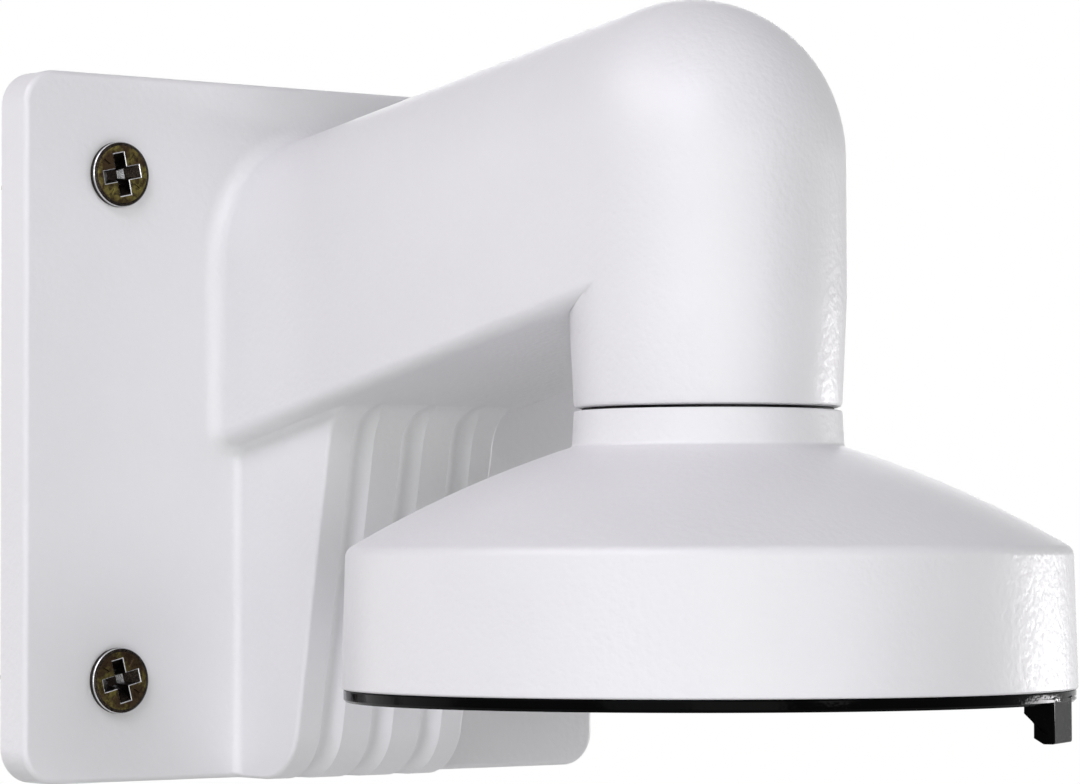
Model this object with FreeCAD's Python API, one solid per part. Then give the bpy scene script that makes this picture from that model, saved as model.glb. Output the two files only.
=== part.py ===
"""Wall bracket for a small dome camera: a die-cast arm with a screwed-on hood.

The frame: the wall is the plane y = 0, the object stands out toward -Y, +Z is up and
x = 0 is the plane of symmetry. The origin is the middle of the wall plate's back face.
Heights named below are measured up from the lower edge of the wall plate, and reaches
are measured out from the wall. All sizes are in millimetres, angles in degrees.
"""
import FreeCAD, Part
import math
import os
from FreeCAD import Vector

# Wall plate of the casting
plate_width = 120.0
plate_height = 119.0
plate_thickness = 7.5
plate_corner_radius = 6.0
plate_lip = 3.5
plate_rib = 2.4

# Casting walls and the rounding of its edges
wall = 3.0
root_fillet = 3.0
ledge_fillet = 1.5
plate_edge_radius = 1.0
box_edge_radius = 0.7

# Arm: a tube that rises from the wall and bends down into the neck
reach = 111.9
arm_axis_height = 87.2
arm_rise = 8.3
bend_radius = 3.9
underside_height = 55.0
underside_rise = 11.6
underside_edge_radius = 2.5
underside_skin = 0.1

# Neck: the downward end of the tube, with the thread for the hood
neck_radius = 21.65
neck_end_height = 60.6
neck_end_radius = 20.85
neck_taper_length = 17.0
neck_bore_radius = 17.0
neck_thread_depth = 15.0
neck_mouth_chamfer = 0.6
bend_core_share = 0.6

# Box under the arm, with flutes down its front
box_half_width = 17.4
box_foot_reach = 23.5
box_lean = 10.6
box_foot_radius = 10.0
box_throat_radius = 8.7
flute_count = 3
flute_pitch = 10.3
flute_width = 4.6
flute_depth = 1.0
flute_exit_radius = 5.0

# Wall screws and their holes
screw_spacing_x = 84.0
screw_spacing_z = 85.0
screw_head_radius = 5.5
screw_head_edge = 1.2
screw_head_lift = 0.5
screw_shank_radius = 2.6
screw_thread_radius = 3.0
screw_hole_radius = 3.25
screw_length_in_wall = 30.0
screw_tip_length = 5.0
screw_boss_radius = 8.0
screw_turns = (78, 76, 58, 35)
recess_span = 7.3
recess_width = 2.0
recess_depth = 3.2

# Hood: the cap that carries the camera
hood_rim_radius = 56.9
hood_rim_top_radius = 56.3
hood_rim_height = 17.2
hood_shoulder_height = 38.7
hood_shoulder_radius = 2.5
hood_collar_height = 54.6
hood_collar_radius = 21.15
hood_crown_radius = 170.0
hood_crown_cones = 3
hood_wall = 3.0
hood_rim_wall = 2.6
seam_gap = 0.45
seam_edge_radius = 0.8
seat_width = 2.0
spigot_length = 12.0
spigot_wall = 3.4
thread_clearance = 0.2
fastener_clearance = 0.05

# Grub screw that locks the hood's thread
lock_radius = 2.5
lock_height_above_end = 6.0
lock_sunk = 0.3
lock_socket = 2.5
lock_socket_depth = 1.8

# Black camera plate under the hood
flange_inset = 0.3
flange_thickness = 1.9
flange_edge = 0.4
register_clearance = 0.25
register_height = 3.4
register_wall = 2.4
web_thickness = 2.6
cable_hole_radius = 20.0
tab_angle = -59.2
tab_width = 10.6
tab_thickness = 3.25
tab_drop = 5.9
tab_inset = 0.2
tab_root = 1.3
tab_chamfer = 1.5
tab_edge_radius = 0.4

# Screws that hold the camera plate, and holes for the camera's own screws
plate_screw_count = 3
plate_screw_circle = 45.0
plate_screw_turn = 30.0
plate_screw_radius = 2.0
plate_screw_head_radius = 3.9
plate_screw_length = 12.0
plate_recess_width = 1.0
plate_recess_depth = 1.6
hood_boss_radius = 4.6
camera_hole_count = 3
camera_hole_circle = 33.0
camera_hole_radius = 2.15
camera_boss_radius = 5.0
camera_boss_height = 6.0


def at(x, out, height):
    """The point at x, a reach from the wall and a height over the plate's lower edge."""
    return Vector(x, -out, height - plate_height / 2)


def tan(degrees):
    return math.tan(math.radians(degrees))


def sin(degrees):
    return math.sin(math.radians(degrees))


def cos(degrees):
    return math.cos(math.radians(degrees))


def line(start, end):
    return Part.makeLine(start, end)


def arc(start, middle, end):
    return Part.Arc(start, middle, end).toShape()


def fuse(shapes):
    whole = shapes[0]
    for shape in shapes[1:]:
        whole = whole.fuse(shape)
    return whole.removeSplitter()


def write(name, shape):
    os.makedirs("parts", exist_ok=True)
    shape.exportStep("parts/" + name + ".step")


def rounded_slab(width, height, radius, thickness):
    """A slab with rounded corners, standing on the wall plane."""
    slab = Part.makeBox(width, thickness, height, Vector(-width / 2, -thickness, -height / 2))
    corners = [edge for edge in slab.Edges if edge.BoundBox.YLength > thickness / 2]
    return slab.makeFillet(radius, corners)


def edges_where(shape, test):
    """The edges along which test(x, out, height) holds; x is counted from the middle to either side."""
    chosen = []
    for edge in shape.Edges:
        first, last = edge.ParameterRange
        points = [edge.valueAt(first + (last - first) * share) for share in (0, 0.25, 0.5, 0.75, 1)]
        if all(test(abs(p.x), -p.y, p.z + plate_height / 2) for p in points):
            chosen.append(edge)
    return chosen


def same(first, second, within=0.02):
    return abs(first - second) < within


def underside(out, lift=0.0):
    """Height of the arm's flat underside at a reach from the wall."""
    return underside_height + lift + out * tan(underside_rise)


def elbow():
    """The bend of the tube's axis: where its centre lies, and where the bend starts."""
    hinge = reach - bend_radius
    start = hinge - bend_radius * sin(arm_rise)
    start_height = arm_axis_height + start * tan(arm_rise)
    hinge_height = start_height - bend_radius * cos(arm_rise)
    return hinge, hinge_height, start


def tube(inset, skin=0.0):
    """Flanks and dome of the arm, `inset` under the outer surface, the underside `skin` lower."""
    hinge, hinge_height, start = elbow()
    radius = neck_radius - inset
    start_height = arm_axis_height + start * tan(arm_rise)

    dome_axis = Vector(0, -cos(arm_rise), sin(arm_rise))
    behind = plate_thickness
    base = at(0, -behind, arm_axis_height - behind * tan(arm_rise))
    side = [base, base + Vector(radius, 0, 0), at(radius, start, start_height), at(0, start, start_height)]
    dome = Part.Face(Part.makePolygon(side + side[:1])).revolve(base, dome_axis, 180)

    outline = [at(-radius, 0, underside(0, inset - skin)), at(-radius, reach, underside(reach, inset - skin)),
               at(-radius, reach, hinge_height), at(-radius, hinge, hinge_height),
               at(-radius, start, start_height), at(-radius, 0, arm_axis_height)]
    beam = Part.Face(Part.makePolygon(outline + outline[:1])).extrude(Vector(2 * radius, 0, 0))
    return beam, dome


def bend():
    """The elbow: a half-round section turned about the bend's centre."""
    hinge, height, _ = elbow()
    arcs = 8
    turns = [180 * step / (2 * arcs) for step in range(2 * arcs + 1)]
    rim = [at(neck_radius * cos(turn), reach + neck_radius * sin(turn), height) for turn in turns]
    section = [arc(*rim[step:step + 3]) for step in range(0, 2 * arcs, 2)]
    section += [line(rim[-1], at(-neck_radius, hinge, height)),
                line(at(-neck_radius, hinge, height), at(neck_radius, hinge, height)),
                line(at(neck_radius, hinge, height), rim[0])]
    return Part.Face(Part.Wire(section)).revolve(at(0, hinge, height), Vector(1, 0, 0), -(90 + arm_rise))


def bend_core():
    """The cable way through the elbow: a passage with flat cheeks, a wall under the elbow's skin."""
    hinge, height, _ = elbow()
    half = bend_core_share * (neck_radius - wall)
    radius = bend_radius + math.sqrt(neck_radius ** 2 - half ** 2) - wall
    corners = [at(-half, hinge, height), at(-half, hinge + radius, height),
               at(half, hinge + radius, height), at(half, hinge, height)]
    section = Part.Face(Part.makePolygon(corners + corners[:1]))
    return section.revolve(corners[0], Vector(1, 0, 0), -(90 + arm_rise))


def revolve_profile(edges):
    """A full turn about the neck's axis of a profile drawn in the plane of symmetry."""
    return Part.Face(Part.Wire(edges)).revolve(at(0, reach, 0), Vector(0, 0, 1), 360)


def ring_point(radius, height):
    """A point of a profile, at a radius from the neck's axis."""
    return at(radius, reach, height)


def eased(before, corner, after, radius):
    """Ends and middle of the round that joins two straight lines of a profile at a corner."""
    corner = Vector(*corner)
    first = (Vector(*before) - corner).normalize()
    last = (Vector(*after) - corner).normalize()
    half = first.getAngle(last) / 2
    middle = (first + last).normalize() * radius * (1 / math.sin(half) - 1)
    along = radius / math.tan(half)
    return [(point.x, point.y) for point in (corner + first * along, corner + middle, corner + last * along)]


def neck_outside():
    _, hinge_height, _ = elbow()
    taper_top = (neck_radius, neck_end_height + neck_taper_length)
    end = (0, neck_end_height)
    edge = eased(end, (neck_end_radius, neck_end_height), taper_top, seam_edge_radius)
    return revolve_polygon([end] + edge + [taper_top, (neck_radius, hinge_height), (0, hinge_height)])


def arm_outside(skin=underside_skin):
    """The arm and neck, closed, cut off at the wall plane."""
    beam, dome = tube(0.0, skin)
    lower_edges = edges_where(
        beam, lambda x, out, height: same(x, neck_radius) and same(height, underside(out, -skin)))
    beam = beam.makeFillet(underside_edge_radius, lower_edges)
    arm = fuse([beam, dome, bend(), neck_outside()])
    span = 3 * plate_width
    behind = Part.makeBox(span, span, span, Vector(-span / 2, 0, -span / 2))
    return arm.cut(behind)


class BoxFront:
    """The box's front line in the plane of symmetry, moved `offset` out of the surface."""

    def __init__(self, offset=0.0):
        foot_out = box_foot_reach + box_foot_radius * (tan(box_lean) - 1 / cos(box_lean))
        self.foot_centre = (foot_out, box_foot_radius)
        self.foot_radius = box_foot_radius + offset
        along = tan(box_lean) * (underside_height - box_throat_radius / cos(underside_rise))
        across = box_throat_radius / cos(box_lean)
        throat_out = (box_foot_reach + along + across) / (1 - tan(box_lean) * tan(underside_rise))
        throat_height = underside(throat_out) - box_throat_radius / cos(underside_rise)
        self.throat_centre = (throat_out, throat_height)
        self.throat_radius = box_throat_radius - offset

    def foot(self, angle):
        """A point of the rounded foot, at an angle above the outward direction."""
        out, height = self.foot_centre
        return out + self.foot_radius * cos(angle), height + self.foot_radius * sin(angle)

    def throat(self, angle, radius=None, centre=None):
        """A point of the hollow throat, at an angle above the outward direction."""
        out, height = centre or self.throat_centre
        radius = radius or self.throat_radius
        return out + radius * cos(angle), height + radius * sin(angle)


def box_solid(half_width, offset, lift):
    """The box under the arm: its front profile drawn out to both sides."""
    front = BoxFront(offset)
    low = -offset
    top = 90 + underside_rise
    side = 180 - box_lean
    marks = [(0, low), front.foot(-90), front.foot(-(90 + box_lean) / 2), front.foot(-box_lean),
             front.throat(side), front.throat((side + top) / 2), front.throat(top)]
    points = [at(-half_width, *mark) for mark in marks]
    end_out, end_height = marks[-1]
    roof = at(-half_width, end_out, end_height + lift)
    back = at(-half_width, 0, underside(0) + lift)
    edges = [line(points[0], points[1]), arc(points[1], points[2], points[3]),
             line(points[3], points[4]), arc(points[4], points[5], points[6]),
             line(points[6], roof), line(roof, back), line(back, points[0])]
    return Part.Face(Part.Wire(edges)).extrude(Vector(2 * half_width, 0, 0))


def flute_cutter(x):
    """A round bar bent along the box's front, sunk by the flute's depth, leaving it at both ends."""
    bar = ((flute_width / 2) ** 2 + flute_depth ** 2) / (2 * flute_depth)
    front = BoxFront(bar - flute_depth)
    surface = BoxFront()
    side = 180 - box_lean
    tangent = surface.throat(side)
    step = bar - flute_depth + flute_exit_radius
    exit_centre = (tangent[0] - step * cos(side), tangent[1] - step * sin(side))
    foot_start = -80
    start = front.foot(foot_start)
    leave = 3 * flute_width
    before = (start[0] - leave * cos(foot_start + 90), start[1] - leave * sin(foot_start + 90))
    marks = [before, start, front.foot((foot_start - box_lean) / 2), front.foot(-box_lean),
             front.throat(side, flute_exit_radius, exit_centre),
             front.throat(side - 50, flute_exit_radius, exit_centre),
             front.throat(side - 100, flute_exit_radius, exit_centre)]
    points = [at(x, *mark) for mark in marks]
    path = Part.Wire([line(points[0], points[1]), arc(points[1], points[2], points[3]),
                      line(points[3], points[4]), arc(points[4], points[5], points[6])])
    direction = points[1] - points[0]
    ring = Part.Wire([Part.Circle(points[0], direction, bar).toShape()])
    return path.makePipeShell([ring], True, False)


def rounded_plate():
    """The wall plate with its front outline rounded."""
    plate = rounded_slab(plate_width, plate_height, plate_corner_radius, plate_thickness)
    outline = [edge for edge in plate.Edges if edge.BoundBox.YMax < -plate_thickness / 2]
    return plate.makeFillet(plate_edge_radius, outline)


def rounded_box():
    """The box with its two front edges rounded from the foot to the throat."""
    box = box_solid(box_half_width, 0.0, wall)
    front_edges = edges_where(
        box, lambda x, out, height: same(x, box_half_width)
        and box_foot_reach / 2 < out and height < underside(out) + same(height, 0) * wall)
    return box.makeFillet(box_edge_radius, front_edges)


def casting_outside():
    """Wall plate, arm, neck and fluted box as one rounded solid."""
    body = fuse([rounded_plate(), arm_outside(0.0)])
    body = body.makeFillet(root_fillet, edges_where(
        body, lambda x, out, height: same(out, plate_thickness) and x < plate_width / 3
        and plate_corner_radius < height < plate_height - plate_corner_radius))

    body = fuse([body, rounded_box()])
    body = body.makeFillet(ledge_fillet, edges_where(
        body, lambda x, out, height: same(x, box_half_width)
        and (same(out, plate_thickness) or same(height, underside(out)))))

    # The throat and the rounds beside it run out in the underside, whose skin is laid over them last.
    body = fuse([body, arm_outside()])
    for index in range(flute_count):
        body = body.cut(flute_cutter((index - (flute_count - 1) / 2) * flute_pitch))
    return body


def screw_places():
    """Middles of the four wall screws, on the wall plane."""
    return [Vector(sx * screw_spacing_x / 2, 0, sz * screw_spacing_z / 2)
            for sx, sz in ((-1, 1), (-1, -1), (1, 1), (1, -1))]


def back_recess():
    """The hollow behind the plate, with the screw bosses, ribs and arm walls left standing in it."""
    recess = rounded_slab(plate_width - 2 * plate_lip, plate_height - 2 * plate_lip,
                          plate_corner_radius - plate_lip / 2, plate_thickness - wall)
    standing = [arm_outside(), box_solid(box_half_width, 0.0, wall)]
    for place in screw_places():
        standing.append(Part.makeCylinder(screw_boss_radius, plate_thickness, place, Vector(0, -1, 0)))
    for side in (-1, 1):
        standing.append(Part.makeBox(plate_rib, plate_thickness, plate_height,
                                     Vector(side * screw_spacing_x / 2 - plate_rib / 2, -plate_thickness,
                                            -plate_height / 2)))
        standing.append(Part.makeBox(plate_width, plate_thickness, plate_rib,
                                     Vector(-plate_width / 2, -plate_thickness,
                                            side * screw_spacing_z / 2 - plate_rib / 2)))
    for shape in standing:
        recess = recess.cut(shape)
    return recess


def casting_core():
    """The cable way: up the box and along the arm from the wall, and down through the neck."""
    beam, dome = tube(wall)
    _, hinge_height, _ = elbow()
    box = box_solid(box_half_width - wall, -wall, 2 * wall)
    wide = neck_radius - wall
    step_height = neck_end_height + neck_thread_depth
    below = neck_end_height - wall
    bore = revolve_polygon([
        (0, below), (neck_bore_radius + neck_mouth_chamfer, below),
        (neck_bore_radius + neck_mouth_chamfer, neck_end_height),
        (neck_bore_radius, neck_end_height + neck_mouth_chamfer), (neck_bore_radius, step_height),
        (wide, step_height + wide - neck_bore_radius), (wide, hinge_height), (0, hinge_height)])
    return fuse([beam, dome, bend_core(), bore, box])


def revolve_polygon(points):
    """A full turn about the neck's axis of a profile with straight sides."""
    corners = [ring_point(*point) for point in points]
    return revolve_profile([line(*pair) for pair in zip(corners, corners[1:] + corners[:1])])


def countersink(centre, axis, head_radius, hole_radius, length):
    """A hole whose mouth takes a countersunk head that is flush at `centre`."""
    depth = head_radius - hole_radius
    mouth = Part.makeCone(head_radius, hole_radius, depth, centre, axis)
    return fuse([mouth, Part.makeCylinder(hole_radius, length, centre, axis)])


def neck_radius_at(rise):
    """Radius of the neck's tapering skin, at a rise above its lower end."""
    return neck_end_radius + (neck_radius - neck_end_radius) * rise / neck_taper_length


def lock_hole_start():
    """Where the grub screw's tip meets the hood's thread, on the wall side of the neck."""
    return at(0, reach - neck_bore_radius + thread_clearance, neck_end_height + lock_height_above_end)


def bracket_arm():
    body = casting_outside()
    body = body.cut(back_recess())
    body = body.cut(casting_core())
    for place in screw_places():
        front = place - Vector(0, plate_thickness, 0)
        body = body.cut(countersink(front, Vector(0, 1, 0), screw_head_radius - screw_head_lift,
                                    screw_hole_radius, 2 * plate_thickness))
    lock_hole = Part.makeCylinder(lock_radius + fastener_clearance, neck_radius,
                                  lock_hole_start(), Vector(0, 1, 0))
    return body.cut(lock_hole)


def cross_recess(span, width, depth):
    """A tapering cross that sinks from the plane y = 0 toward +Y."""
    wings = []
    for quarter in (0, 90):
        sections = []
        for level, half_span, half_width in ((0, span / 2, width / 2), (depth, span / 6, width / 3)):
            corners = [Vector(sx * half_span, level, sz * half_width)
                       for sx, sz in ((1, 1), (-1, 1), (-1, -1), (1, -1))]
            sections.append(Part.makePolygon(corners + corners[:1]))
        wing = Part.makeLoft(sections, True, True)
        wing.rotate(Vector(0, 0, 0), Vector(0, 1, 0), quarter)
        wings.append(wing)
    return wings[0].fuse(wings[1])


def wall_screw(place, turn):
    """A countersunk screw standing a little proud of the plate, its thread in the wall only."""
    cone_start = plate_thickness + screw_head_lift
    top = cone_start + screw_head_edge
    cone_end = cone_start - (screw_head_radius - screw_shank_radius)
    profile = [(0, top), (screw_head_radius, top), (screw_head_radius, cone_start),
               (screw_shank_radius, cone_end), (screw_shank_radius, 0),
               (screw_thread_radius, 0), (screw_thread_radius, screw_tip_length - screw_length_in_wall),
               (0, -screw_length_in_wall)]
    corners = [place + Vector(radius, -out, 0) for radius, out in profile]
    screw = Part.Face(Part.makePolygon(corners + corners[:1])).revolve(place, Vector(0, 1, 0), 360)
    recess = cross_recess(recess_span, recess_width, recess_depth)
    recess.rotate(Vector(0, 0, 0), Vector(0, 1, 0), turn)
    recess.translate(place - Vector(0, top, 0))
    return screw.cut(recess)


def crown_centre():
    """Centre of the arc that forms the hood's crown."""
    inner = (hood_collar_radius, hood_collar_height)
    outer = (hood_rim_top_radius, hood_shoulder_height)
    chord = math.hypot(outer[0] - inner[0], outer[1] - inner[1])
    rise = math.sqrt(hood_crown_radius ** 2 - (chord / 2) ** 2)
    away = ((outer[1] - inner[1]) / chord, -(outer[0] - inner[0]) / chord)
    return (inner[0] + outer[0]) / 2 + rise * away[0], (inner[1] + outer[1]) / 2 + rise * away[1]


def crown_height(radius, depth=0.0):
    """Height of the crown at a distance from the neck's axis, `depth` under the surface."""
    centre_radius, centre_height = crown_centre()
    return centre_height + math.sqrt((hood_crown_radius - depth) ** 2 - (radius - centre_radius) ** 2)


def crown_marks(first, last, depth=0.0):
    """Points of the crown's arc, which is turned as a few cones."""
    step = (last - first) / hood_crown_cones
    radii = [first + step * index for index in range(hood_crown_cones + 1)]
    return [(radius, crown_height(radius, depth)) for radius in radii]


def on_hood_circle(radius, count, turn):
    """Points spread evenly round the neck's axis, at height 0."""
    return [at(radius * cos(turn + 360 * index / count), reach + radius * sin(turn + 360 * index / count), 0)
            for index in range(count)]


def hood_outside():
    """The hood as a full turned solid, with the spigot that screws into the neck."""
    collar_top = neck_end_height - seam_gap
    seat_radius = neck_bore_radius + neck_mouth_chamfer + seat_width
    spigot_radius = neck_bore_radius - thread_clearance
    spigot_top = neck_end_height + spigot_length
    lead = spigot_wall / 3
    rim = (hood_rim_radius, hood_rim_height)
    crown = crown_marks(hood_rim_top_radius, hood_collar_radius)
    seat = (seat_radius, collar_top)
    shoulder = eased(rim, crown[0], crown[1], hood_shoulder_radius)
    seam_edge = eased(crown[-1], (neck_end_radius, collar_top), seat, seam_edge_radius)
    return revolve_polygon([(0, hood_rim_height), rim] + shoulder + crown[1:] + seam_edge + [
        seat, (seat_radius, neck_end_height), (spigot_radius, neck_end_height),
        (spigot_radius, spigot_top - lead), (spigot_radius - lead, spigot_top), (0, spigot_top)])


def rim_bore_radius():
    return hood_rim_top_radius - hood_rim_wall


def hood_hollow():
    """The space inside the hood, an even wall under its outside, and the bore of the spigot."""
    rim = rim_bore_radius()
    bore = neck_bore_radius - thread_clearance - spigot_wall
    collar = hood_collar_radius - hood_wall
    roof = neck_end_height - seam_gap - hood_wall
    above = neck_end_height + 2 * spigot_length
    below = hood_rim_height - hood_wall
    return revolve_polygon([(0, below), (rim, below)] + crown_marks(rim, collar, hood_wall)
                           + [(collar, roof), (bore, roof), (bore, above), (0, above)])


def hood():
    seat = hood_rim_height - flange_thickness + web_thickness
    hollow = hood_hollow()
    holes = []
    for place in on_hood_circle(plate_screw_circle, plate_screw_count, plate_screw_turn):
        low = place + Vector(0, 0, seat)
        hollow = hollow.cut(Part.makeCylinder(hood_boss_radius, hood_crown_radius, low))
        holes.append(Part.makeCylinder(plate_screw_radius + fastener_clearance, plate_screw_length, low))
    body = hood_outside().cut(hollow)
    for hole in holes:
        body = body.cut(hole)
    return body


def camera_tab():
    """The tab that hangs under the camera plate's rim."""
    bottom = hood_rim_height - flange_thickness
    outer = hood_rim_radius - flange_inset - tab_inset
    inner = outer - tab_thickness
    low = bottom - tab_drop
    inside = bottom + flange_thickness / 2
    marks = [(outer, inside), (outer, low), (inner + tab_chamfer, low), (inner, low + tab_chamfer * 0.6),
             (inner, bottom - 2 * tab_root), (inner - tab_chamfer, bottom - tab_root),
             (inner - tab_chamfer, inside)]
    corners = [Vector(radius, -tab_width / 2, height - plate_height / 2) for radius, height in marks]
    tab = Part.Face(Part.makePolygon(corners + corners[:1])).extrude(Vector(0, tab_width, 0))
    uprights = [edge for edge in tab.Edges
                if edge.BoundBox.YLength < 0.01 and edge.BoundBox.ZMin < corners[4].z - 0.01]
    tab = tab.makeFillet(tab_edge_radius, uprights)
    tab.rotate(Vector(0, 0, 0), Vector(0, 0, 1), tab_angle)
    tab.translate(Vector(0, -reach, 0))
    return tab


def camera_plate():
    bottom = hood_rim_height - flange_thickness
    flange_radius = hood_rim_radius - flange_inset
    register = rim_bore_radius() - register_clearance
    web_top = bottom + web_thickness
    register_top = hood_rim_height + register_height
    disc = revolve_polygon([
        (cable_hole_radius, bottom), (flange_radius - flange_edge, bottom),
        (flange_radius, bottom + flange_edge), (flange_radius, hood_rim_height),
        (register, hood_rim_height), (register, register_top),
        (register - register_wall, register_top), (register - register_wall, web_top),
        (cable_hole_radius, web_top)])
    plate = disc.fuse(camera_tab())
    up = Vector(0, 0, 1)
    for place in on_hood_circle(camera_hole_circle, camera_hole_count, plate_screw_turn + 180):
        low = place + Vector(0, 0, bottom)
        plate = plate.fuse(Part.makeCylinder(camera_boss_radius, camera_boss_height, low))
        plate = plate.cut(Part.makeCylinder(camera_hole_radius, 2 * camera_boss_height, low))
    for place in on_hood_circle(plate_screw_circle, plate_screw_count, plate_screw_turn):
        plate = plate.cut(countersink(place + Vector(0, 0, bottom), up, plate_screw_head_radius,
                                      plate_screw_radius + fastener_clearance, 2 * web_thickness))
    return plate.removeSplitter()


def plate_screw(place):
    """A countersunk screw, flush with the underside of the camera plate."""
    cone = plate_screw_head_radius - plate_screw_radius
    profile = [(0, 0), (plate_screw_head_radius, 0), (plate_screw_radius, cone),
               (plate_screw_radius, plate_screw_length), (0, plate_screw_length)]
    corners = [place + Vector(radius, 0, height) for radius, height in profile]
    screw = Part.Face(Part.makePolygon(corners + corners[:1])).revolve(place, Vector(0, 0, 1), 360)
    recess = cross_recess(plate_screw_head_radius, plate_recess_width, plate_recess_depth)
    recess.rotate(Vector(0, 0, 0), Vector(1, 0, 0), 90)
    recess.translate(place)
    return screw.cut(recess)


def hex_socket(centre, axis, across, depth):
    """A six-sided pocket that runs from `centre` along the axis, which lies along Y."""
    corner = across / 2 / cos(30)
    points = [centre + Vector(corner * cos(60 * step), 0, corner * sin(60 * step)) for step in range(6)]
    return Part.Face(Part.makePolygon(points + points[:1])).extrude(axis * depth)


def lock_screw():
    """A grub screw through the neck, pressing on the hood's thread."""
    tip = lock_hole_start()
    length = neck_radius_at(lock_height_above_end) - lock_sunk - neck_bore_radius + thread_clearance
    point = lock_radius / 3
    profile = [(0, 0), (lock_radius - point, 0), (lock_radius, point), (lock_radius, length), (0, length)]
    corners = [tip + Vector(radius, along, 0) for radius, along in profile]
    screw = Part.Face(Part.makePolygon(corners + corners[:1])).revolve(tip, Vector(0, 1, 0), 360)
    head = tip + Vector(0, length, 0)
    return screw.cut(hex_socket(head, Vector(0, -1, 0), lock_socket, lock_socket_depth))


screw_under_plate = hood_rim_height - flange_thickness
write("bracket_arm", bracket_arm())
write("hood", hood())
write("camera_plate", camera_plate())
write("wall_screws", Part.makeCompound([wall_screw(*pair) for pair in zip(screw_places(), screw_turns)]))
write("plate_screws", Part.makeCompound([
    plate_screw(place + Vector(0, 0, screw_under_plate))
    for place in on_hood_circle(plate_screw_circle, plate_screw_count, plate_screw_turn)]))
write("lock_screw", lock_screw())
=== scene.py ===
"""Looks of the camera wall bracket: paint, plastic and plated screws, in plain studio light."""

import math
import bmesh
import bpy
from mathutils import Matrix, Vector


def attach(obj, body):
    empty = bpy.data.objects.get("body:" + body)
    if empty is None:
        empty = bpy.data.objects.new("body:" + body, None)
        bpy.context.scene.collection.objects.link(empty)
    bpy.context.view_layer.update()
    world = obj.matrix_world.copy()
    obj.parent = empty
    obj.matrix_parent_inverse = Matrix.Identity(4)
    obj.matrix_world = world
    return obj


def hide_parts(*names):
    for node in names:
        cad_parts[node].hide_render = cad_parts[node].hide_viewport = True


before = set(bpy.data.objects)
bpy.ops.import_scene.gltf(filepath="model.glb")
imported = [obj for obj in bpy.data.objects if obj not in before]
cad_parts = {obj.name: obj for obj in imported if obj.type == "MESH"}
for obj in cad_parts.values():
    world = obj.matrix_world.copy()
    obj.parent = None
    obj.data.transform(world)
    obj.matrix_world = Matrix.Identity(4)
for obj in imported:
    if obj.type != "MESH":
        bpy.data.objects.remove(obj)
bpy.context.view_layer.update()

# Camera, as fitted to the photograph (metres, degrees, millimetres)
CAMERA_PLACE = (-0.44661, -0.64453, -0.02175)
CAMERA_YAW = 37.83
CAMERA_PITCH = 2.097
CAMERA_ROLL = -0.128
CAMERA_LENS = 149.11
SENSOR_WIDTH = 36.0

# Studio, in metres: white as seen by the camera and in reflections, while the lamps give the light
WHITE = (1.0, 1.0, 1.0, 1.0)
AMBIENT = 0.02
FLOOR_HEIGHT = -1.6
FLOOR_HALF_SIZE = 6.0
FLOOR_COLOUR = (0.93, 0.93, 0.93, 1.0)
FLOOR_ROUGHNESS = 0.9
FLOOR_GLOW = 0.8
LAMP_TARGET = (0.0, -0.08, 0.0)
# Each lamp: azimuth from the camera's side and height (degrees), distance from the target, width
# and upright size (metres), power (watts), colour
LAMPS = {
    "front": (7, 0, 2.4, 1.2, 1.2, 12.1, (0.98, 1.0, 0.92)),
    "front_left": (-20, 5, 2.4, 1.2, 1.2, 7.6, (0.95, 0.98, 1.0)),
    "wall": (36, 6, 1.2, 0.3, 0.3, 1.8, (0.98, 0.96, 1.0)),
    "low": (25, -28, 1.2, 0.6, 0.6, 2.2, (0.96, 0.94, 1.0)),
    "low_left": (-60, -30, 2.4, 1.2, 1.2, 2.6, (1.0, 0.97, 0.98)),
    "above": (-20, 40, 2.4, 1.4, 1.4, 21.0, (0.91, 0.88, 1.0)),
    "above_left": (-65, 40, 2.4, 1.4, 1.4, 15.4, (1.0, 0.96, 0.98)),
    "left": (-100, 5, 2.4, 1.2, 1.2, 5.6, (1.0, 0.96, 0.97)),
    "back_left": (-130, -5, 2.4, 1.2, 1.2, 4.6, (1.0, 0.98, 0.97)),
    "back": (180, 10, 2.4, 1.2, 1.2, 9.0, (1.0, 1.0, 1.0)),
    "right_strip": (121, -5, 1.1, 0.5, 0.1, 3.8, (1.0, 0.98, 1.0)),
}

# White powder paint over a casting (sizes and depths of the unevenness in metres)
PAINT_SHADES = ((0.80, 0.80, 0.81), (0.83, 0.83, 0.84))
PAINT_ROUGHNESS = (0.36, 0.46)
PAINT_CLOUD_SIZE = 0.035
CAST_SIZE, CAST_DEPTH = 0.012, 0.00006
PEEL_SIZE, PEEL_DEPTH = 0.0011, 0.00009
GRIT_SIZE, GRIT_DEPTH = 0.00035, 0.000012

# Black moulding
BLACK_SHADES = ((0.0005, 0.0005, 0.0006), (0.0011, 0.0011, 0.0013))
BLACK_ROUGHNESS = (0.06, 0.14)
BLACK_SPECULAR = 0.02
BLACK_CLOUD_SIZE = 0.02
WAVE_SIZE, WAVE_DEPTH = 0.006, 0.00004
GRAIN_SIZE, GRAIN_DEPTH = 0.0006, 0.00002

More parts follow.
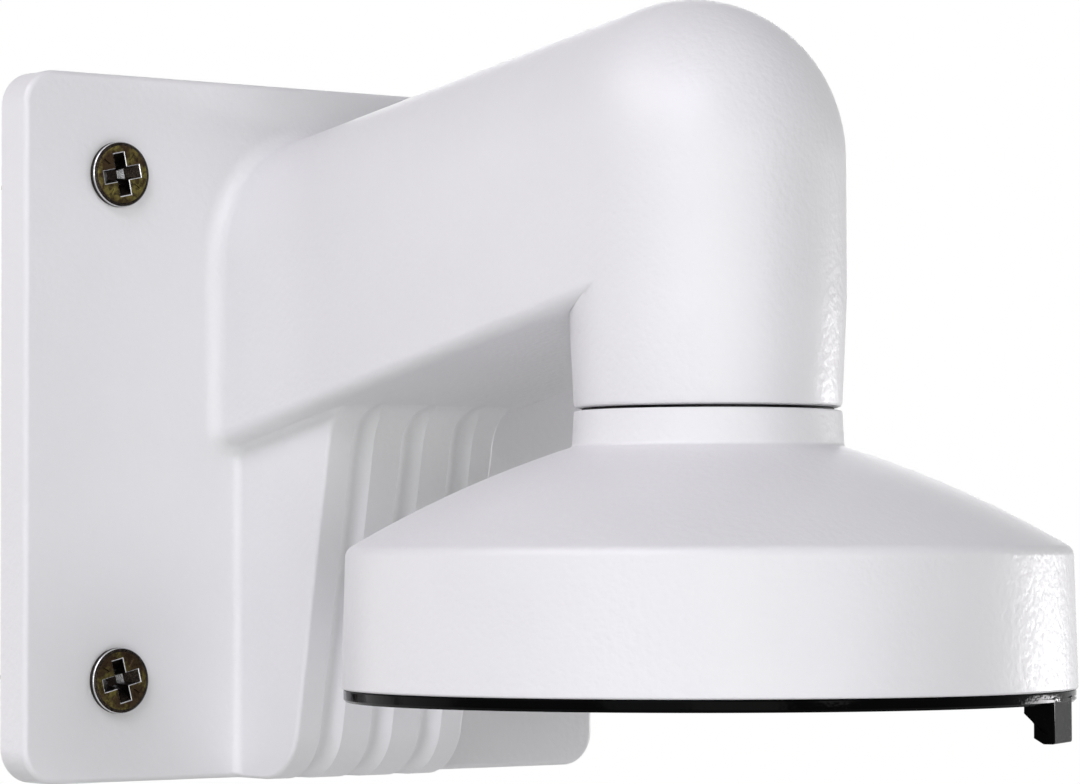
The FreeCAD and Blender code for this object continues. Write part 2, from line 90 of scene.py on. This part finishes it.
# Platings: a dark and a light tint in patches, a third in specks, roughness, size of a patch
PLATINGS = {
    "yellow_zinc": (((0.050, 0.033, 0.018), (0.14, 0.12, 0.036), (0.026, 0.016, 0.010)),
                    (0.25, 0.45), 0.004),
    # painted shade for the screws' cross recesses and the dark rings round their heads
    "recess_shade": (((0.006, 0.005, 0.005), (0.015, 0.012, 0.010), (0.05, 0.04, 0.03)),
                     (0.30, 0.50), 0.001),
    # unpainted thread, darkened as painted shade for the hood's seam gap
    "thread_in_painted_shade": (((0.010, 0.010, 0.011), (0.02, 0.02, 0.02), (0.006, 0.006, 0.006)),
                    (0.45, 0.60), 0.0022),
    # bright zinc of the plate screws, also painted highlight on the screws' edges and recess ends
    "bright_zinc_and_painted_highlight": (((0.50, 0.50, 0.51), (0.62, 0.62, 0.63), (0.40, 0.40, 0.42)),
                    (0.20, 0.34), 0.0022),
    "black_oxide": (((0.05, 0.05, 0.055), (0.09, 0.09, 0.10), (0.03, 0.03, 0.03)),
                    (0.30, 0.45), 0.0022),
}
PATCH_EDGE = (0.42, 0.58)
SPECK_EDGE = (0.46, 0.62)
SPECK_STRENGTH = 0.85
SPECKS_PER_PATCH = 5
SPECK_DEPTH = 0.00003
TOOTH_SIZE, TOOTH_DEPTH = 0.00025, 0.00001

# Edges: distance at which a CAD node's facets join (metres), and angles between faces (degrees)
JOIN_DISTANCE = 1e-6
ROUNDED_EDGE_ANGLE = 55
ROUNDED_EDGE_STEPS = 3
SHARP_ANGLE = 35

# Pieces below are drawn in millimetres
MM_PER_METRE = 1000
SAME_POINT = 1e-5
ROUND_STEPS = 6

# The hood's heights are counted from the wall plate's lower edge, this far under the origin
PLATE_HALF_HEIGHT = 59.5
# Distance of the neck's and the hood's axis from the wall
REACH = 111.9
TURN_STEPS = 192

# Hood
RIM_RADIUS = 56.9
RIM_TOP_RADIUS = 56.3
RIM_HEIGHT = 17.2
RIM_ROUND = 0.4
SHOULDER_HEIGHT = 38.7
SHOULDER_ROUND = 2.0
COLLAR_RADIUS = 21.15
COLLAR_HEIGHT = 54.6
COLLAR_ROUND = 0.6
CROWN_RADIUS = 170.0
CROWN_STEPS = 16
SEAM_RADIUS = 20.85
SEAM_HEIGHT = 60.15
SEAM_ROUND = 0.35
SEAT_RADIUS = 19.6
SEAT_HEIGHT = 60.6
SPIGOT_RADIUS = 16.8
SPIGOT_TOP = 72.6
SPIGOT_LEAD = 1.1
SPIGOT_ROUND = 0.2
HOOD_WALL = 3.0
BORE_RADIUS = 13.4
BORE_ROUND = 0.3
ROOF_ROUND = 0.8
RIM_BORE_RADIUS = 53.7
RIM_BORE_ROUND = 0.3
INNER_SHOULDER_ROUND = 1.5
# Material slot of the spigot and its seat: unpainted, and darkened as painted shade for the seam's
# gap; and how far past the seam and the seat these faces are looked for
SEAM_SHADE_SLOT = 1
SEAM_SHADE_ABOVE_SEAM = 0.01
SEAM_SHADE_PAST_SEAT = 0.1

# Bosses inside the hood
BOSS_CIRCLE = 45.0
BOSS_RADIUS = 4.6
BOSS_HEIGHT = 17.9
BOSS_ROUND = 0.25
BOSS_HOLE_RADIUS = 2.05
BOSS_HOLE_TOP = 29.9
BOSS_ANGLES = (30, 150, 270)
BOSS_STEPS = 48

# Screws, with the head's front at the local height 0 and the shank running down: radii of head,
# shank, thread and root; depths of the head's edge, of the plain shank and of the point; length
# of the tip; pitch; the cross's span, width and depth; the head's rim; radii of the ticks' ends
WALL_SCREW = {
    "head": 5.5, "shank": 2.6, "thread": 3.0, "root": 2.1, "edge": 1.2, "plain": 9.2,
    "length": 39.2, "tip": 5.0, "pitch": 2.5, "span": 7.3, "width": 2.2, "depth": 3.2,
    "rim": 0.65, "ticks": (2.8, 4.3)}
PLATE_SCREW = {
    "head": 3.9, "shank": 2.0, "thread": 2.0, "root": 1.55, "edge": 0.0, "plain": 3.0,
    "length": 12.0, "tip": 0.8, "pitch": 1.4, "span": 3.9, "width": 1.0, "depth": 1.6,
    "rim": 0.12, "ticks": None}
# Each wall screw: places across and up from the origin, and the cross's turn in degrees
WALL_SCREW_PLACES = ((-42.0, 42.5, 12), (-42.0, -42.5, 14), (42.0, 42.5, 32), (42.0, -42.5, 55))
WALL_SCREW_FRONT = 9.2
PLATE_SCREW_FRONT = 15.3
# Material slots of a screw: its plating, painted shade in the recess and round the head, painted
# highlight on edges
PLATED, SHADED, PAINTED_HIGHLIGHT = 0, 1, 2
# Head: short cone under its edge, round into the shank, and the band round its front edge, a
# painted highlight between two rings of painted shade
HEAD_STEPS = 64
HEAD_ROUND_STEPS = 4
CONE_EDGE = 0.12
SHANK_ROUND = 0.4
BAND_INSET, BAND_TOP, BAND_MIDDLE, BAND_END, BAND_ROUND = 0.12, 0.24, 0.38, 0.5, 0.08
# Cross recess, which narrows toward its floor by these shares, and tick marks
CROSS_EDGE = 0.09
CROSS_SPAN_TAPER = 0.75
CROSS_WIDTH_TAPER = 0.4
CROSS_FLOOR_START = 0.7
TICK_WIDTH = 0.24
TICK_DEPTH = 0.16
# Share of the pitch and share of the thread's height
THREAD_PROFILE = ((0.0, 0.0), (0.30, 0.0), (0.50, 1.0), (0.58, 1.0), (0.78, 0.0), (1.0, 0.0))
THREAD_STEPS = 32
TIP_SHARE = 0.02


# ---- node helpers

def new_material(name):
    material = bpy.data.materials.new(name)
    material.use_nodes = True
    tree = material.node_tree
    return material, tree, tree.nodes["Principled BSDF"]


def feed(tree, socket, value):
    """Links a socket to another one, or gives it a value."""
    if isinstance(value, bpy.types.NodeSocket):
        tree.links.new(value, socket)
    else:
        socket.default_value = value


def add(tree, kind, inputs=None, **settings):
    """A new node with its settings and the values or links of its inputs."""
    node = tree.nodes.new(kind)
    for name, value in settings.items():
        setattr(node, name, value)
    for name, value in (inputs or {}).items():
        feed(tree, node.inputs[name], value)
    return node


def object_place(tree):
    return add(tree, "ShaderNodeTexCoord").outputs["Object"]


def noise(tree, place, size, detail=2.0, roughness=0.5):
    """Noise whose blotches are `size` metres across."""
    return add(tree, "ShaderNodeTexNoise", {
        "Vector": place, "Scale": 1.0 / size, "Detail": detail,
        "Roughness": roughness}).outputs["Fac"]


def spread(tree, value, low, high, from_low=0.3, from_high=0.7):
    """A noise's usual range drawn out to another range."""
    return add(tree, "ShaderNodeMapRange", {
        "Value": value, "From Min": from_low, "From Max": from_high,
        "To Min": low, "To Max": high}).outputs["Result"]


def opaque(colours):
    return [(*colour, 1.0) for colour in colours]


def mix_colour(tree, factor, first, second):
    # The colour sockets of a mix node share their names with others, so they go by number
    return add(tree, "ShaderNodeMix", {0: factor, 6: first, 7: second}, data_type="RGBA").outputs[2]


def bump(tree, height, distance, normal=None):
    inputs = {"Height": height, "Distance": distance}
    if normal is not None:
        inputs["Normal"] = normal
    return add(tree, "ShaderNodeBump", inputs).outputs["Normal"]


def wire(tree, shader, **sockets):
    for name, value in sockets.items():
        feed(tree, shader.inputs[name.replace("_", " ")], value)


# ---- materials

def white_powder_coat():
    """Powder paint over cast aluminium: orange peel, a fine grit and an uneven cast skin."""
    material, tree, shader = new_material("white_powder_coat")
    place = object_place(tree)
    clouds = noise(tree, place, PAINT_CLOUD_SIZE, detail=3.0)
    peel = noise(tree, place, PEEL_SIZE, detail=1.5, roughness=0.45)
    grit = noise(tree, place, GRIT_SIZE, detail=1.0)
    cast = noise(tree, place, CAST_SIZE)
    colour = mix_colour(tree, spread(tree, clouds, 0.0, 1.0), *opaque(PAINT_SHADES))
    surface = bump(tree, cast, CAST_DEPTH)
    surface = bump(tree, peel, PEEL_DEPTH, surface)
    surface = bump(tree, grit, GRIT_DEPTH, surface)
    wire(tree, shader, Base_Color=colour, Roughness=spread(tree, peel, *PAINT_ROUGHNESS),
         Normal=surface)
    return material


def black_moulded():
    """Black plastic with a semi-gloss moulded skin and a fine grain."""
    material, tree, shader = new_material("black_moulded")
    place = object_place(tree)
    clouds = noise(tree, place, BLACK_CLOUD_SIZE, detail=3.0)
    grain = noise(tree, place, GRAIN_SIZE)
    wave = noise(tree, place, WAVE_SIZE, detail=1.0)
    colour = mix_colour(tree, spread(tree, clouds, 0.0, 1.0), *opaque(BLACK_SHADES))
    surface = bump(tree, wave, WAVE_DEPTH)
    surface = bump(tree, grain, GRAIN_DEPTH, surface)
    wire(tree, shader, Base_Color=colour, Roughness=spread(tree, grain, *BLACK_ROUGHNESS),
         Specular_IOR_Level=BLACK_SPECULAR, Normal=surface)
    return material


def plated(name, tints, roughness, patch_size):
    """Plated steel: mottled passivation in three tints, with a fine tooth left by tumbling. The
    same mix also makes the screws' painted shade and the hood seam's painted shade.
    """
    material, tree, shader = new_material(name)
    place = object_place(tree)
    dark, light, third = opaque(tints)
    patches = noise(tree, place, patch_size, detail=3.0, roughness=0.6)
    specks = noise(tree, place, patch_size / SPECKS_PER_PATCH, detail=3.0, roughness=0.6)
    tooth = noise(tree, place, TOOTH_SIZE)
    colour = mix_colour(tree, spread(tree, patches, 0.0, 1.0, *PATCH_EDGE), dark, light)
    colour = mix_colour(tree, spread(tree, specks, 0.0, SPECK_STRENGTH, *SPECK_EDGE), colour, third)
    surface = bump(tree, specks, SPECK_DEPTH)
    surface = bump(tree, tooth, TOOTH_DEPTH, surface)
    wire(tree, shader, Base_Color=colour, Metallic=1.0, Roughness=spread(tree, specks, *roughness),
         Normal=surface)
    return material


# ---- CAD nodes that stay

def soften(piece, sharp_angle, round_size):
    """Joins a CAD node's facets and shades them smooth between its sharp edges.

    With a round size, in millimetres, the sharpest edges are rounded as well.
    """
    piece.data.shade_smooth()
    piece.modifiers.new("join", "WELD").merge_threshold = JOIN_DISTANCE
    if round_size:
        edge = piece.modifiers.new("round", "BEVEL")
        edge.width = round_size / MM_PER_METRE
        edge.segments = ROUNDED_EDGE_STEPS
        edge.limit_method = "ANGLE"
        edge.angle_limit = math.radians(ROUNDED_EDGE_ANGLE)
        edge.use_clamp_overlap = False
    piece.modifiers.new("edges", "EDGE_SPLIT").split_angle = math.radians(sharp_angle)
    weigh_normals(piece)


def weigh_normals(piece):
    shade = piece.modifiers.new("shade", "WEIGHTED_NORMAL")
    shade.mode = "FACE_AREA"
    shade.keep_sharp = True


def paint(piece, material):
    piece.data.materials.clear()
    piece.data.materials.append(material)


# ---- turned pieces

def rounded(corners, steps=ROUND_STEPS):
    """The points of a closed profile of (radius, height, round) corners, with rounds as arcs."""
    points = []
    for index, (radius, height, fillet) in enumerate(corners):
        corner = Vector((radius, height))
        if not fillet:
            points.append(corner)
            continue
        before = Vector(corners[index - 1][:2])
        after = Vector(corners[(index + 1) % len(corners)][:2])
        first, last = (before - corner).normalized(), (after - corner).normalized()
        half = first.angle(last) / 2
        along = fillet / math.tan(half)
        centre = corner + (first + last).normalized() * (fillet / math.sin(half))
        start, end = corner + first * along - centre, corner + last * along - centre
        turn = math.pi - 2 * half
        sign = 1 if start.x * end.y - start.y * end.x > 0 else -1
        for step in range(steps + 1):
            angle = sign * turn * step / steps
            cosine, sine = math.cos(angle), math.sin(angle)
            points.append(centre + Vector((start.x * cosine - start.y * sine,
                                           start.x * sine + start.y * cosine)))
    return points


def turn_profile(mesh, points, steps, centre=(0.0, 0.0), slot=0, closed=True):
    """Faces of a profile turned about an upright axis; points on the axis close into a fan."""
    rings = []
    for radius, height in points:
        if radius < SAME_POINT:
            rings.append([mesh.verts.new((*centre, height))])
            continue
        angles = [2 * math.pi * step / steps for step in range(steps)]
        rings.append([mesh.verts.new((centre[0] + radius * math.cos(angle),
                                      centre[1] + radius * math.sin(angle), height))
                      for angle in angles])
    for lower, upper in zip(rings, rings[1:] + (rings[:1] if closed else [])):
        for step in range(steps):
            corners = [ring[index % len(ring)] for ring, index in
                       ((lower, step), (lower, step + 1), (upper, step + 1), (upper, step))]
            corners = list(dict.fromkeys(corners))
            if len(corners) > 2:
                mesh.faces.new(corners).material_index = slot
    return rings


def finished_piece(name, mesh, materials):
    """An object in metres from a mesh in millimetres, smooth but for its sharp edges."""
    bmesh.ops.remove_doubles(mesh, verts=mesh.verts, dist=SAME_POINT)
    bmesh.ops.recalc_face_normals(mesh, faces=mesh.faces)
    bmesh.ops.scale(mesh, vec=[1 / MM_PER_METRE] * 3, verts=mesh.verts)
    data = bpy.data.meshes.new(name)
    mesh.to_mesh(data)
    mesh.free()
    for material in materials:
        data.materials.append(material)
    data.shade_smooth()
    data.set_sharp_from_angle(angle=math.radians(SHARP_ANGLE))
    piece = bpy.data.objects.new(name, data)
    bpy.context.scene.collection.objects.link(piece)
    weigh_normals(piece)
    return piece


# ---- hood

def crown_height(radius, depth=0.0):
    """Height of the hood's crown, an arc from shoulder to collar, `depth` under its surface."""
    chord = Vector((RIM_TOP_RADIUS - COLLAR_RADIUS, SHOULDER_HEIGHT - COLLAR_HEIGHT))
    middle = Vector((RIM_TOP_RADIUS + COLLAR_RADIUS, SHOULDER_HEIGHT + COLLAR_HEIGHT)) / 2
    rise = math.sqrt(CROWN_RADIUS ** 2 - (chord.length / 2) ** 2)
    centre = middle + Vector((chord.y, -chord.x)).normalized() * rise
    return centre.y + math.sqrt((CROWN_RADIUS - depth) ** 2 - (radius - centre.x) ** 2)


def crown(first, last, depth=0.0, first_round=0.0, last_round=0.0):
    """Profile corners along the crown, with rounds at its two ends."""
    corners = []
    for step in range(CROWN_STEPS + 1):
        radius = first + (last - first) * step / CROWN_STEPS
        fillet = {0: first_round, CROWN_STEPS: last_round}.get(step, 0.0)
        corners.append((radius, crown_height(radius, depth), fillet))
    return corners


def on_boss_circle(angle):
    turn = math.radians(angle)
    return BOSS_CIRCLE * math.cos(turn), BOSS_CIRCLE * math.sin(turn)


def hood(materials):
    """The hood as turned, with its bosses: white-painted, but for the spigot and its seat in the
    seam, which are darkened as painted shade for the seam's gap.
    """
    mesh = bmesh.new()
    roof = SEAM_HEIGHT - HOOD_WALL
    inner_collar = COLLAR_RADIUS - HOOD_WALL
    corners = [
        (RIM_BORE_RADIUS, RIM_HEIGHT, RIM_BORE_ROUND), (RIM_RADIUS, RIM_HEIGHT, RIM_ROUND),
        *crown(RIM_TOP_RADIUS, COLLAR_RADIUS, 0.0, SHOULDER_ROUND, COLLAR_ROUND),
        (SEAM_RADIUS, SEAM_HEIGHT, SEAM_ROUND), (SEAT_RADIUS, SEAM_HEIGHT, 0.0),
        (SEAT_RADIUS, SEAT_HEIGHT, SPIGOT_ROUND), (SPIGOT_RADIUS, SEAT_HEIGHT, SPIGOT_ROUND),
        (SPIGOT_RADIUS, SPIGOT_TOP - SPIGOT_LEAD, SPIGOT_ROUND),
        (SPIGOT_RADIUS - SPIGOT_LEAD, SPIGOT_TOP, SPIGOT_ROUND),
        (BORE_RADIUS, SPIGOT_TOP, BORE_ROUND), (BORE_RADIUS, roof, ROOF_ROUND),
        (inner_collar, roof, ROOF_ROUND),
        *crown(inner_collar, RIM_BORE_RADIUS, HOOD_WALL, 0.0, INNER_SHOULDER_ROUND)]
    turn_profile(mesh, rounded(corners), TURN_STEPS)
    for angle in BOSS_ANGLES:
        boss(mesh, on_boss_circle(angle))
    # The spigot and its seat, inside the seam, get the dark material: painted shade for the gap
    for face in mesh.faces:
        centre = face.calc_center_median()
        inward = math.hypot(centre.x, centre.y) < SEAT_RADIUS + SEAM_SHADE_PAST_SEAT
        if inward and centre.z > SEAM_HEIGHT + SEAM_SHADE_ABOVE_SEAM:
            face.material_index = SEAM_SHADE_SLOT
    bmesh.ops.translate(mesh, vec=(0.0, -REACH, -PLATE_HALF_HEIGHT), verts=mesh.verts)
    return finished_piece("hood_cap", mesh, materials)


def boss(mesh, place):
    """A screw boss that runs up into the crown's wall."""
    corners = [(0.0, BOSS_HOLE_TOP, 0.0), (BOSS_HOLE_RADIUS, BOSS_HOLE_TOP, 0.0),
               (BOSS_HOLE_RADIUS, BOSS_HEIGHT, BOSS_ROUND), (BOSS_RADIUS, BOSS_HEIGHT, BOSS_ROUND),
               (BOSS_RADIUS, SHOULDER_HEIGHT, 0.0)]
    rings = turn_profile(mesh, rounded(corners, 3), BOSS_STEPS, place, closed=False)
    for vertex in rings[-1]:
        vertex.co.z = crown_height(math.hypot(vertex.co.x, vertex.co.y), HOOD_WALL / 2)
    mesh.faces.new(rings[-1])


# ---- screws

def cross_outline(span, width, height):
    """The twelve corners of a cross."""
    long, short = span / 2, width / 2
    quarter = [(long, -short), (long, short), (short, short)]
    corners = []
    for turn in range(4):
        for x, y in quarter:
            for _ in range(turn):
                x, y = -y, x
            corners.append((x, y, height))
    return corners


def tick_outline(start, end, turn):
    """Corners and groove ends of a short mark on the head's front, drawn out from the axis."""
    side = TICK_WIDTH / 2
    corners = [(start, -side), (end, -side), (end, side), (start, side)]
    groove = [(start + side, 0.0), (end - side, 0.0)]
    along, across = math.cos(turn), math.sin(turn)
    return [[(x * along - y * across, x * across + y * along) for x, y in points]
            for points in (corners, groove)]


def loop_edges(mesh, loop):
    return [mesh.edges.get(pair) or mesh.edges.new(pair) for pair in zip(loop, loop[1:] + loop[:1])]


def bridge(mesh, upper, lower, slots):
    """Walls between two loops of a cross, whose every third wall is the end of a wing."""
    for index in range(len(upper)):
        after = (index + 1) % len(upper)
        wall = mesh.faces.new((upper[index], upper[after], lower[after], lower[index]))
        wall.material_index = slots[index % 3]


def screw_front(mesh, size, rim):
    """The head's flat front round the cross and the tick marks, with the cross's recess."""
    loops = []
    for sunk, out in ((0.0, CROSS_EDGE), (CROSS_EDGE / size["depth"], 0.0),
                      (CROSS_FLOOR_START, 0.0), (1.0, 0.0)):
        span = size["span"] * (1 - CROSS_SPAN_TAPER * sunk) + 2 * out
        width = size["width"] * (1 - CROSS_WIDTH_TAPER * sunk) + 2 * out
        corners = cross_outline(span, width, -sunk * size["depth"])
        loops.append([mesh.verts.new(corner) for corner in corners])
    # The recess's top bevel and its wing ends near the floor are painted highlight, its walls and
    # floor painted shade
    bridge(mesh, loops[0], loops[1], (PAINTED_HIGHLIGHT, PAINTED_HIGHLIGHT, PAINTED_HIGHLIGHT))
    bridge(mesh, loops[1], loops[2], (SHADED, SHADED, SHADED))
    bridge(mesh, loops[2], loops[3], (PAINTED_HIGHLIGHT, SHADED, SHADED))
    mesh.faces.new(loops[3]).material_index = SHADED
    borders = loop_edges(mesh, rim) + loop_edges(mesh, loops[0])
    if size["ticks"]:
        for turn in (45, 135, 225, 315):
            corners, groove = tick_outline(*size["ticks"], math.radians(turn))
            mark = [mesh.verts.new((x, y, 0.0)) for x, y in corners]
            low = [mesh.verts.new((x, y, -TICK_DEPTH)) for x, y in groove]
            borders += loop_edges(mesh, mark)
            for face in ((mark[0], mark[1], low[1], low[0]), (mark[2], mark[3], low[0], low[1]),
                         (mark[3], mark[0], low[0]), (mark[1], mark[2], low[1])):
                mesh.faces.new(face).material_index = PLATED
    bmesh.ops.triangle_fill(mesh, use_beauty=True, edges=borders)


def thread(mesh, size):
    """A helical thread that grows out of the plain shank and runs down to the screw's tip."""
    pitch = size["pitch"]
    start, end = -size["plain"], -size["length"]
    turns = math.ceil((start - end) / pitch) + 1
    rows = []
    for index in range(turns * THREAD_STEPS + 1):
        angle = 2 * math.pi * index / THREAD_STEPS
        row = []
        for share, crest in THREAD_PROFILE:
            height = start + pitch - pitch * (index / THREAD_STEPS + share)
            height = min(start, max(end, height))
            lead = min(1.0, (start - height) / pitch)
            point = min(1.0, (height - end) / size["tip"] + TIP_SHARE)
            root = size["root"] + (size["shank"] - size["root"]) * (1.0 - lead)
            radius = (root + crest * lead * (size["thread"] - root)) * point
            row.append(mesh.verts.new((radius * math.cos(angle), radius * math.sin(angle), height)))
        rows.append(row)
    for first, second in zip(rows, rows[1:]):
        for index in range(len(THREAD_PROFILE) - 1):
            corners = (first[index], second[index], second[index + 1], first[index + 1])
            mesh.faces.new(corners).material_index = PLATED


def head_bands(size):
    """Profiles from the head's front down to the plain shank, each with its material slot."""
    head, shank, low = size["head"], size["shank"], -size["edge"]
    front = (head - size["rim"], 0.0, 0.0)
    cone = [(head, low - CONE_EDGE, 0.0), (shank, low - (head - shank), SHANK_ROUND),
            (shank, -size["plain"], 0.0)]
    if not size["edge"]:
        return [([front, cone[0]], PLATED), (cone, PLATED)]
    # Dark rings of painted shade round a band of painted highlight
    band = [(head - BAND_INSET, -BAND_TOP, 0.0), (head, -BAND_MIDDLE, BAND_ROUND),
            (head, -BAND_END, 0.0)]
    return [([front, band[0]], SHADED), (band, PAINTED_HIGHLIGHT),
            ([band[-1], (head, low, 0.0), cone[0]], SHADED), (cone, PLATED)]


def screw(mesh, size, matrix):
    """One countersunk screw with a cross recess, set in place by a matrix."""
    part = bmesh.new()
    rings = [turn_profile(part, rounded(corners, HEAD_ROUND_STEPS), HEAD_STEPS, slot=slot,
                          closed=False)
             for corners, slot in head_bands(size)]
    screw_front(part, size, rings[0][0])
    thread(part, size)
    bmesh.ops.remove_doubles(part, verts=part.verts, dist=SAME_POINT)
    bmesh.ops.dissolve_degenerate(part, edges=part.edges, dist=SAME_POINT)
    part.transform(matrix)
    copy = bpy.data.meshes.new("screw")
    part.to_mesh(copy)
    part.free()
    mesh.from_mesh(copy)
    bpy.data.meshes.remove(copy)


def wall_screws(materials):
    mesh = bmesh.new()
    out_of_the_wall = Matrix.Rotation(math.radians(90), 4, "X")
    for x, z, turn in WALL_SCREW_PLACES:
        place = Matrix.Translation((x, -WALL_SCREW_FRONT, z)) @ out_of_the_wall
        screw(mesh, WALL_SCREW, place @ Matrix.Rotation(math.radians(turn), 4, "Z"))
    return finished_piece("wall_screw_set", mesh, materials)


def plate_screws(materials):
    mesh = bmesh.new()
    head_down = Matrix.Rotation(math.pi, 4, "X")
    for angle in BOSS_ANGLES:
        x, y = on_boss_circle(angle)
        place = Matrix.Translation((x, y - REACH, PLATE_SCREW_FRONT - PLATE_HALF_HEIGHT))
        screw(mesh, PLATE_SCREW, place @ head_down)
    return finished_piece("plate_screw_set", mesh, materials)


# ---- studio

def lamp(name, azimuth, height, distance, width, tall, power, colour):
    """An oval lamp that stands round the object and shines at it."""
    turn, rise, yaw = math.radians(azimuth), math.radians(height), math.radians(CAMERA_YAW)
    toward_camera = Vector((-math.sin(yaw), -math.cos(yaw), 0.0))
    to_the_right = Vector((math.cos(yaw), -math.sin(yaw), 0.0))
    flat = toward_camera * math.cos(turn) + to_the_right * math.sin(turn)
    direction = flat * math.cos(rise) + Vector((0.0, 0.0, math.sin(rise)))
    data = bpy.data.lights.new(name, "AREA")
    data.shape = "ELLIPSE"
    data.size = width
    data.size_y = tall
    data.energy = power
    data.color = colour
    light = bpy.data.objects.new(name, data)
    light.location = Vector(LAMP_TARGET) + direction * distance
    light.rotation_euler = (-direction).to_track_quat("-Z", "Y").to_euler()
    bpy.context.scene.collection.objects.link(light)


def seen_directly(tree):
    """1 for rays from the camera, mirrors and glass, which show the white background."""
    path = add(tree, "ShaderNodeLightPath")
    seen = path.outputs["Is Camera Ray"]
    for name in ("Is Glossy Ray", "Is Transmission Ray"):
        inputs = {0: seen, 1: path.outputs[name]}
        seen = add(tree, "ShaderNodeMath", inputs, operation="MAXIMUM").outputs[0]
    return seen


def world_light():
    world = bpy.data.worlds.new("studio")
    bpy.context.scene.world = world
    world.use_nodes = True
    tree = world.node_tree
    tree.nodes.clear()
    dim = add(tree, "ShaderNodeBackground", {"Color": WHITE, "Strength": AMBIENT}).outputs[0]
    plain = add(tree, "ShaderNodeBackground", {"Color": WHITE, "Strength": 1.0}).outputs[0]
    both = add(tree, "ShaderNodeMixShader", {0: seen_directly(tree), 1: dim, 2: plain}).outputs[0]
    add(tree, "ShaderNodeOutputWorld", {"Surface": both})


def floor():
    """A pale floor that mostly glows where it is seen, and so nearly runs into the white."""
    half = FLOOR_HALF_SIZE
    mesh = bpy.data.meshes.new("floor")
    corners = [(x, y, FLOOR_HEIGHT) for x, y in
               ((-half, -half), (half, -half), (half, half), (-half, half))]
    mesh.from_pydata(corners, [], [(0, 1, 2, 3)])
    piece = bpy.data.objects.new("floor", mesh)
    bpy.context.scene.collection.objects.link(piece)
    material, tree, shader = new_material("pale_floor")
    wire(tree, shader, Base_Color=FLOOR_COLOUR, Roughness=FLOOR_ROUGHNESS)
    glow = add(tree, "ShaderNodeEmission", {"Color": WHITE, "Strength": 1.0}).outputs[0]
    inputs = {0: seen_directly(tree), 1: FLOOR_GLOW}
    part = add(tree, "ShaderNodeMath", inputs, operation="MULTIPLY").outputs[0]
    both = add(tree, "ShaderNodeMixShader", {0: part, 1: shader.outputs[0], 2: glow}).outputs[0]
    tree.links.new(both, tree.nodes["Material Output"].inputs["Surface"])
    mesh.materials.append(material)


def photo_camera():
    yaw, pitch, roll = (math.radians(angle) for angle in (CAMERA_YAW, CAMERA_PITCH, CAMERA_ROLL))
    forward = Vector((math.sin(yaw) * math.cos(pitch), math.cos(yaw) * math.cos(pitch),
                      math.sin(pitch)))
    right = Vector((math.cos(yaw), -math.sin(yaw), 0.0))
    up = right.cross(forward)
    right, up = (right * math.cos(roll) + up * math.sin(roll),
                 up * math.cos(roll) - right * math.sin(roll))
    turn = Matrix((right, up, -forward)).transposed().to_4x4()
    lens = bpy.data.cameras.new("photo_camera")
    lens.lens = CAMERA_LENS
    lens.sensor_fit = "HORIZONTAL"
    lens.sensor_width = SENSOR_WIDTH
    camera = bpy.data.objects.new("photo_camera", lens)
    camera.matrix_world = Matrix.Translation(CAMERA_PLACE) @ turn
    bpy.context.scene.collection.objects.link(camera)
    bpy.context.scene.camera = camera


# ---- the scene

white = white_powder_coat()
plating = {name: plated(name, *settings) for name, settings in PLATINGS.items()}

# Kept CAD nodes: material, angle in degrees from which an edge is sharp, round in millimetres
for node, material, sharp_angle, round_size in (
        ("bracket_arm", white, 32, 0.0),
        ("camera_plate", black_moulded(), 35, 0.3),
        ("lock_screw", plating["black_oxide"], 30, 0.0)):
    paint(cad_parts[node], material)
    soften(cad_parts[node], sharp_angle, round_size)

# Painted shade and painted highlight for the screws' recesses and head edges
head_shade_and_highlight = [plating["recess_shade"], plating["bright_zinc_and_painted_highlight"]]
for piece, node, slot in (
        (hood([white, plating["thread_in_painted_shade"]]), "hood", "hood_paint"),
        (wall_screws([plating["yellow_zinc"], *head_shade_and_highlight]), "wall_screws", "yellow_zinc"),
        (plate_screws([plating["bright_zinc_and_painted_highlight"], *head_shade_and_highlight]), "plate_screws", "screw_steel")):
    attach(piece, "root")
    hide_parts(node)

bpy.context.scene.view_settings.view_transform = "Standard"
world_light()
floor()
for name, settings in LAMPS.items():
    lamp(name, *settings)
photo_camera()
